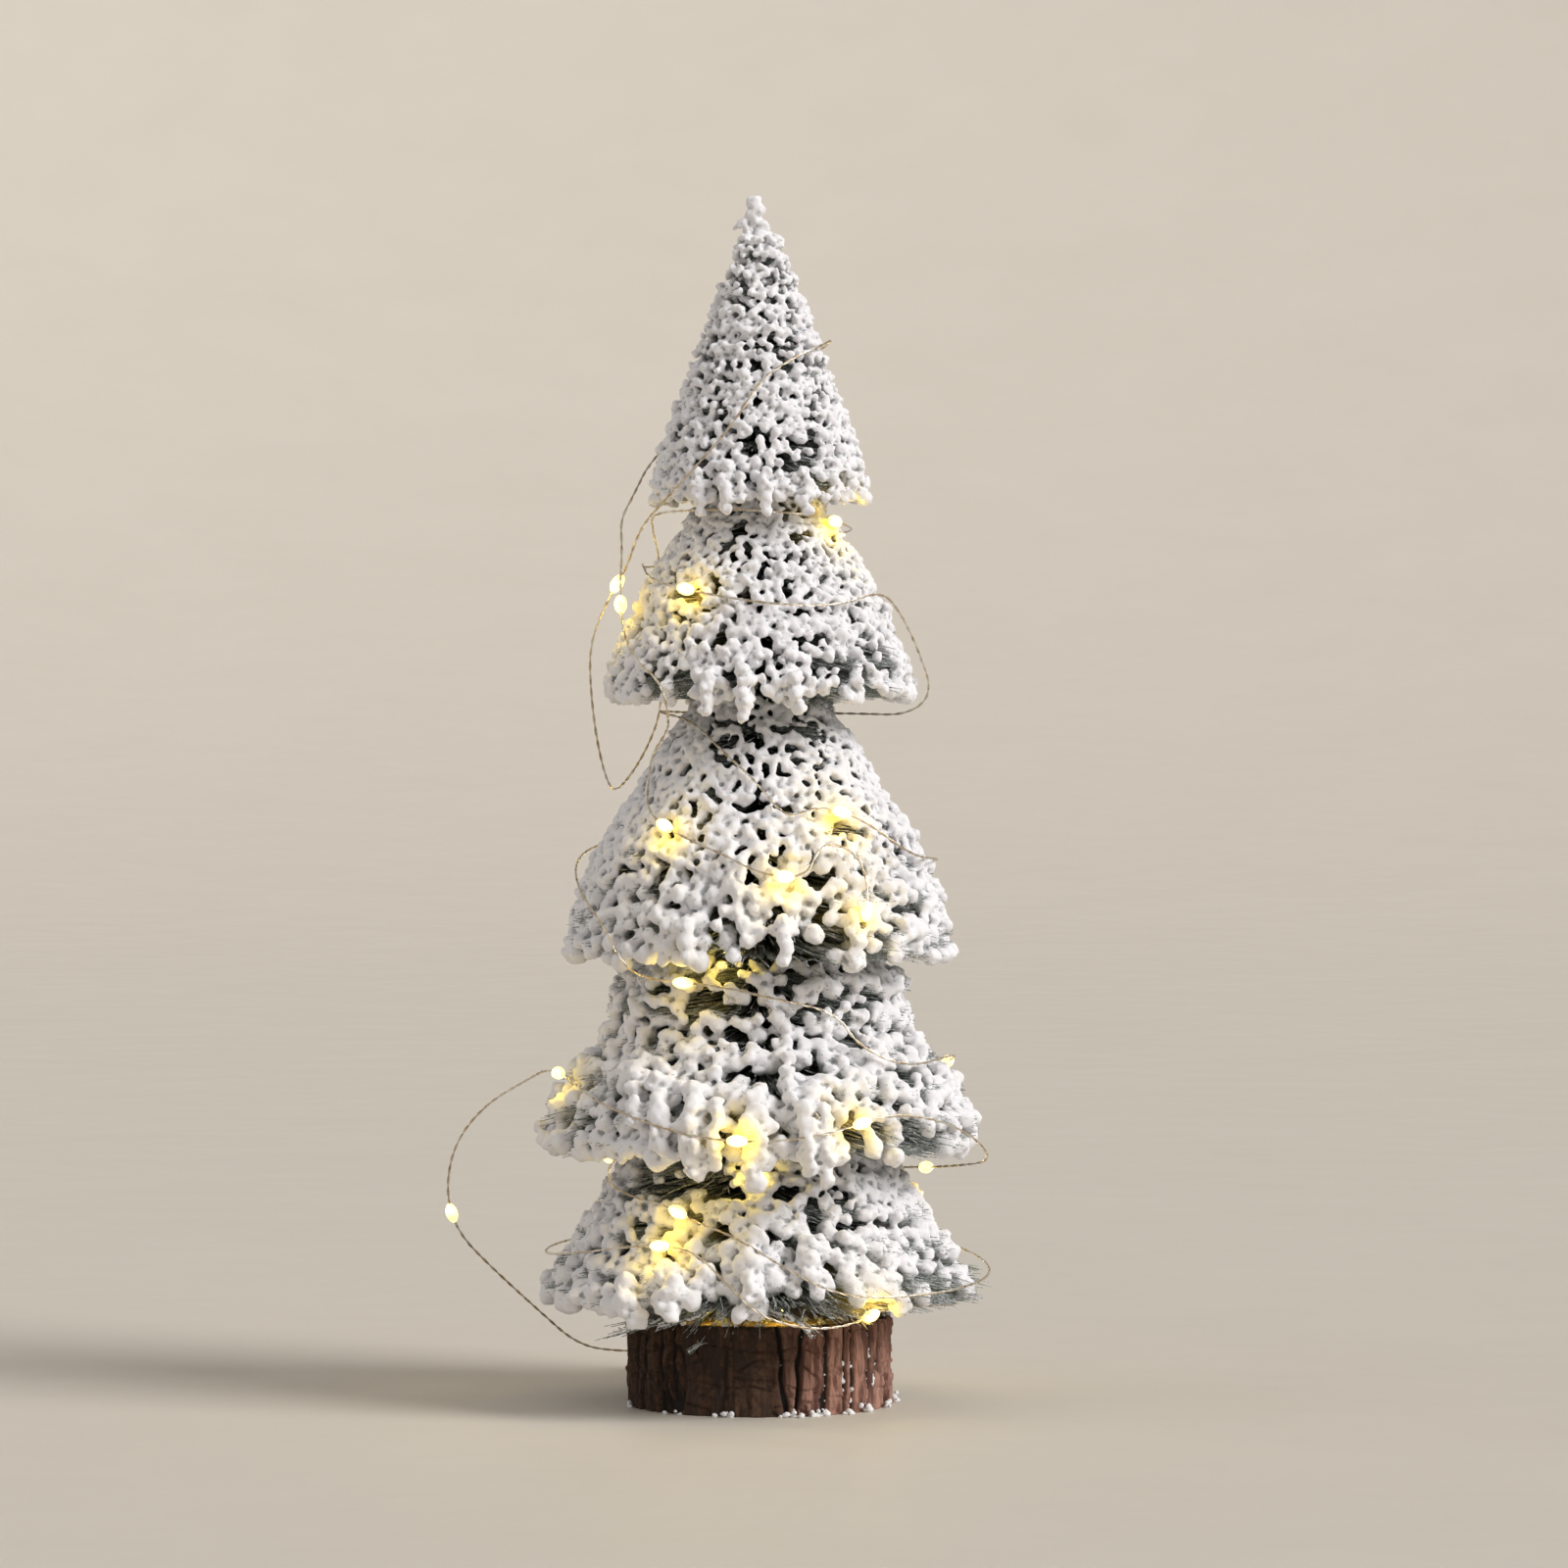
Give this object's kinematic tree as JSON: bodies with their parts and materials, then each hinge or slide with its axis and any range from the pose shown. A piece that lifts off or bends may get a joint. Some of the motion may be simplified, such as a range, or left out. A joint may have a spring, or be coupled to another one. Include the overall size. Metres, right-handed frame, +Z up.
{
  "type": "artificial tabletop tree",
  "caption": "Small artificial tree: flocked wire brush trimmed to tiers on a bark-edged log slice, wrapped with a battery-powered string of tiny warm lamps.",
  "frame": {"origin": "centre of the log slice's underside", "axes": "+Z up along the stem; the front, as usually shown, faces -Y; the battery case lies behind, towards +Y"},
  "size_m": [0.137, 0.1317, 0.3],
  "materials": {
    "wood": "matte",
    "bark": "matte",
    "stem_steel": "satin",
    "glue": "gloss",
    "needle_film": "satin",
    "flocking": "matte",
    "lamp_wire": "satin",
    "lamp_resin": "gloss",
    "lamp_chip": "satin",
    "grommet_rubber": "matte",
    "case_plastic": "matte",
    "cell_steel": "satin",
    "contact_metal": "satin",
    "switch_can": "satin",
    "knob_plastic": "satin",
    "resistor_body": "satin",
    "lead_red": "satin",
    "lead_black": "satin"
  },
  "bodies": {
    "tree": {"ballast_resistor": "resistor_body", "bark_ring": "bark", "battery_case_lower": "case_plastic", "battery_case_upper": "case_plastic", "battery_cell_lower": "cell_steel", "battery_cell_upper": "cell_steel", "contact_spring": "contact_metal", "contact_strip": "contact_metal", "lead_negative": "lead_black", "lead_positive": "lead_red", "led_beads": "lamp_resin", "led_chips": "lamp_chip", "light_wire": "lamp_wire", "needles_tier_1": "needle_film", "needles_tier_2": "needle_film", "needles_tier_3": "needle_film", "needles_tier_4": "needle_film", "needles_tier_5": "needle_film", "snow_tier_1": "flocking", "snow_tier_2": "flocking", "snow_tier_3": "flocking", "snow_tier_4": "flocking", "snow_tier_5": "flocking", "stem_glue": "glue", "stem_wire_a": "stem_steel", "stem_wire_b": "stem_steel", "switch_body": "switch_can", "wire_grommet": "grommet_rubber", "wood_slice": "wood"},
    "cover": {"battery_cover": "case_plastic"},
    "switch": {"switch_knob": "knob_plastic"}
  },
  "joints": [
    {"name": "cover_slide", "type": "slide", "parent": "tree", "child": "cover", "axis": [1, 0, 0], "range_m": [0, 0.034]},
    {"name": "switch_slide", "type": "slide", "parent": "tree", "child": "switch", "axis": [1, 0, 0], "range_m": [-0.0025, 0]}
  ]
}
